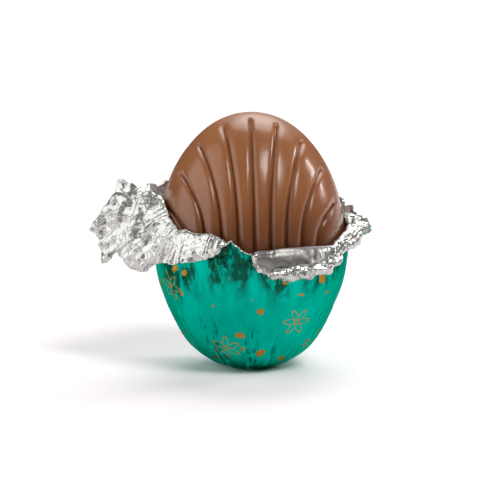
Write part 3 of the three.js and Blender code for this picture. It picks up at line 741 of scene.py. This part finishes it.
def lacquered_print():
    recipe = Recipe("teal_lacquer_with_gold")
    surface = recipe.surface.inputs
    streaks = recipe.stretched(1, 1, 0.09)
    patches = recipe.ramp(recipe.noise(1.2, detail=3), 0.42, 0.58)
    crease_and_painted_shade = recipe.calc(recipe.mark("creased_and_painted_shade"), patches, clamp=True)

    along_pulls = recipe.ramp(recipe.noise(1.1, detail=3, place=streaks), 0.3, 0.7)
    teal = recipe.blend(along_pulls, paint(0, 165, 144), paint(0, 177, 155))
    # Lighter towards the bottom: painted light, as the underside faces the table's shadow.
    low_painted_shading = recipe.ramp(recipe.axes(recipe.place)[2], 0.5 * MM, 8 * MM, 0.35, 0.0)
    teal = recipe.blend(low_painted_shading, teal, paint(10, 212, 190))
    # Dark green flecked patches just below the torn rim: painted shade under the silver strip, on top of the
    # real crumpling.
    crushed_and_painted_shade = recipe.mark("crushed_and_painted_shade")
    flecks = recipe.noise(0.9, detail=5, place=recipe.stretched(1, 1, 0.4), rough=0.7)
    flecks = recipe.ramp(flecks, 0.42, 0.56, 0.15, 1.0)
    painted_shade_under_tear = recipe.calc(recipe.calc(crushed_and_painted_shade, flecks), 2.6, clamp=True)
    teal = recipe.blend(painted_shade_under_tear, teal, paint(18, 84, 66))
    # Dark lines beside the wrinkles: painted shade in the creases.
    teal = recipe.blend(recipe.calc(crease_and_painted_shade, 0.9), teal, paint(0, 62, 58))

    ragged = recipe.add("ShaderNodeTexNoise")
    ragged.inputs["Scale"].default_value = 1 / (1.2 * MM)
    recipe.join(recipe.place, ragged.inputs["Vector"])
    shift = recipe.add("ShaderNodeVectorMath", operation="MULTIPLY_ADD")
    recipe.join(ragged.outputs["Color"], shift.inputs[0])
    shift.inputs[1].default_value = (1.9 * MM, 1.9 * MM, 0.9 * MM)
    recipe.join(recipe.place, shift.inputs[2])
    tint = recipe.add("ShaderNodeSeparateColor")
    moved = shift.outputs[0]
    recipe.join(recipe.cells(SPECK_SPACING, output="Color", place=moved), tint.inputs[0])
    size = recipe.ramp(tint.outputs[0], 0.15, 0.85, 0.0, 0.27)
    speck = recipe.calc(size, recipe.cells(SPECK_SPACING, place=moved), "SUBTRACT")
    speck = recipe.ramp(speck, 0.0, 0.015)

    drawing = recipe.mark("drawing", "Vector")
    length = recipe.add("ShaderNodeVectorMath", operation="LENGTH")
    recipe.join(drawing, length.inputs[0])
    off_middle = length.outputs["Value"]
    right, up, _ = recipe.axes(drawing)
    wave = recipe.calc(recipe.calc(recipe.calc(up, right, "ARCTAN2"), 3.0), 0.0, "COSINE")
    petal = recipe.calc(recipe.calc(wave, wave), PETAL_LENGTH)
    tip = recipe.calc(petal, FLOWER_SIZE - PETAL_LENGTH, "ADD")
    outline = recipe.calc(recipe.calc(off_middle, tip, "SUBTRACT"), 0.0, "ABSOLUTE")
    heart = recipe.calc(recipe.calc(off_middle, FLOWER_HEART, "SUBTRACT"), 0.0, "ABSOLUTE")
    flower = recipe.ramp(recipe.calc(outline, heart, "MINIMUM"), *FLOWER_LINE, 1.0, 0.0)
    clear = recipe.ramp(off_middle, FLOWER_SIZE + 0.1, FLOWER_SIZE + 0.2)
    printed = recipe.calc(recipe.calc(speck, clear), flower, "MAXIMUM")

    gold = recipe.blend(recipe.noise(0.5), paint(180, 131, 54), paint(152, 114, 50))
    recipe.join(recipe.blend(printed, teal, gold), surface["Base Color"])
    surface["Metallic"].default_value = 1.0
    surface["Specular Tint"].default_value = paint(60, 180, 160)
    dulled = recipe.ramp(recipe.noise(1.5, detail=4, place=streaks), 0.3, 0.7, 0.3, 0.44)
    recipe.join(dulled, surface["Roughness"])
    skin = recipe.bump(recipe.noise(0.8, detail=3, place=streaks), 0.03)
    skin = recipe.bump(crease_and_painted_shade, -0.05, skin)
    crumple = recipe.calc(flat_facets(recipe, 0.7), crushed_and_painted_shade)
    recipe.join(recipe.bump(crumple, 600, skin), surface["Normal"])
    return recipe.material


points, printed, bare, marks = foil_mesh()
mesh = bpy.data.meshes.new("foil_sheet")
mesh.from_pydata((points * MM).tolist(), [], sum([faces.tolist() for faces in (*printed, *bare)], []))
# These marks go on as attributes; the lacquer paints shade with the first two.
for name, values in zip(("crushed_and_painted_shade", "creased_and_painted_shade", "smoothed"), marks.T):
    mesh.attributes.new(name, "FLOAT", "POINT").data.foreach_set("value", values.copy())
drawing = mesh.attributes.new("drawing", "FLOAT_VECTOR", "POINT")
drawing.data.foreach_set("vector", flower_places(points).ravel())
sides = np.ones(len(mesh.polygons), np.int32)
sides[: sum(len(faces) for faces in printed)] = 0
mesh.materials.append(lacquered_print())
mesh.materials.append(bright_metal())
mesh.polygons.foreach_set("material_index", sides)
mesh.shade_smooth()
mesh.set_sharp_from_angle(angle=math.radians(11))
foil = bpy.data.objects.new("foil_sheet", mesh)
bpy.context.scene.collection.objects.link(foil)
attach(foil, "root")
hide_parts("foil_wrapper")

# ---------------------------------------------------------------------------------------
# The studio. A white table under the egg that ends a hand's breadth in front of it, bright
# cloths behind and to the left, two smaller and brighter ones high up behind and to the right
# that throw the shadows, a narrow soft box, and the dark of the room on the viewer's side.
TABLE_HALF_WIDTH = 2.0
TABLE_BACK = 3.0
TABLE_FRONT = 0.12
VIEW_RISE_DEGREES = 10.0
VIEW_DISTANCE = 0.3665
LENS = 180.0
SENSOR = 36.0
LOOK_AT = (-0.52 * MM, 0.0, 17.72 * MM)

table_mesh = bpy.data.meshes.new("table")
corners = [(-1, -TABLE_FRONT), (1, -TABLE_FRONT), (1, TABLE_BACK), (-1, TABLE_BACK)]
table_mesh.from_pydata([(side * TABLE_HALF_WIDTH, y, 0) for side, y in corners], [], [(0, 1, 2, 3)])
table = bpy.data.objects.new("table", table_mesh)
bpy.context.scene.collection.objects.link(table)
table_paint = Recipe("white_table")
table_paint.surface.inputs["Base Color"].default_value = (0.885, 0.84, 0.853, 1)
table_paint.surface.inputs["Roughness"].default_value = 0.9
table_paint.surface.inputs["Specular IOR Level"].default_value = 0.0
table_mesh.materials.append(table_paint.material)


def heading(turn, rise):
    """The direction that lies turn degrees to the right of the viewer and rise degrees up."""
    turn, rise = math.radians(turn), math.radians(rise)
    return math.cos(rise) * math.sin(turn), -math.cos(rise) * math.cos(turn), math.sin(rise)


# Every cloth of the room: its heading, the angles at which it starts and ends, its brightness.
CLOTHS = (
    (heading(168, 56), 30, 12, 3.6),
    (heading(38, 50), 16, 8, 12.5),
    (heading(-76, 22), 44, 22, 1.9),
    (heading(175, 34), 30, 12, 0.6),
)
ROOM_LIGHT = 0.04  # what the dark of the room gives back

world = bpy.data.worlds.new("room")
bpy.context.scene.world = world
world.use_nodes = True
nodes, links = world.node_tree.nodes, world.node_tree.links
seen = nodes.new("ShaderNodeTexCoord").outputs["Generated"]


def towards(direction, start, full, brightness):
    """A cloth's light: none farther off than start degrees, all of it nearer than full."""
    facing = nodes.new("ShaderNodeVectorMath")
    facing.operation = "DOT_PRODUCT"
    facing.inputs[1].default_value = direction
    share = nodes.new("ShaderNodeMapRange")
    share.interpolation_type = "SMOOTHSTEP"
    share.inputs["From Min"].default_value = math.cos(math.radians(start))
    share.inputs["From Max"].default_value = math.cos(math.radians(full))
    share.inputs["To Max"].default_value = brightness
    links.new(seen, facing.inputs[0])
    links.new(facing.outputs["Value"], share.inputs["Value"])
    return share.outputs["Result"]


def together(first, second):
    node = nodes.new("ShaderNodeMath")
    links.new(first, node.inputs[0])
    links.new(second, node.inputs[1])
    return node.outputs[0]


light = nodes.new("ShaderNodeValue").outputs[0]
light.default_value = ROOM_LIGHT
for cloth in CLOTHS:
    light = together(light, towards(*cloth))
links.new(light, nodes["Background"].inputs["Strength"])
nodes["Background"].inputs["Color"].default_value = (1, 1, 1, 1)


def soft_box(name, place, width, height, watts):
    """An upright soft box that faces the egg."""
    data = bpy.data.lights.new(name, "AREA")
    data.shape = "RECTANGLE"
    data.size, data.size_y = width, height
    data.energy = watts
    box = bpy.data.objects.new(name, data)
    bpy.context.scene.collection.objects.link(box)
    box.location = place
    x, y, z = np.array(LOOK_AT) - np.array(place)
    box.rotation_euler = (math.atan2(math.hypot(x, y), -z), 0, math.atan2(y, x) - math.pi / 2)


soft_box("side_box", tuple(0.5 * v for v in heading(113, 24)), 0.06, 0.16, 0.75)

camera_data = bpy.data.cameras.new("camera")
camera_data.lens = LENS
camera_data.sensor_width = SENSOR
camera = bpy.data.objects.new("camera", camera_data)
bpy.context.scene.collection.objects.link(camera)
back_off = heading(0, VIEW_RISE_DEGREES)
camera.location = [at + VIEW_DISTANCE * off for at, off in zip(LOOK_AT, back_off)]
camera.rotation_euler = (math.pi / 2 - math.radians(VIEW_RISE_DEGREES), 0, 0)
bpy.context.scene.camera = camera
bpy.context.scene.view_settings.view_transform = "Standard"
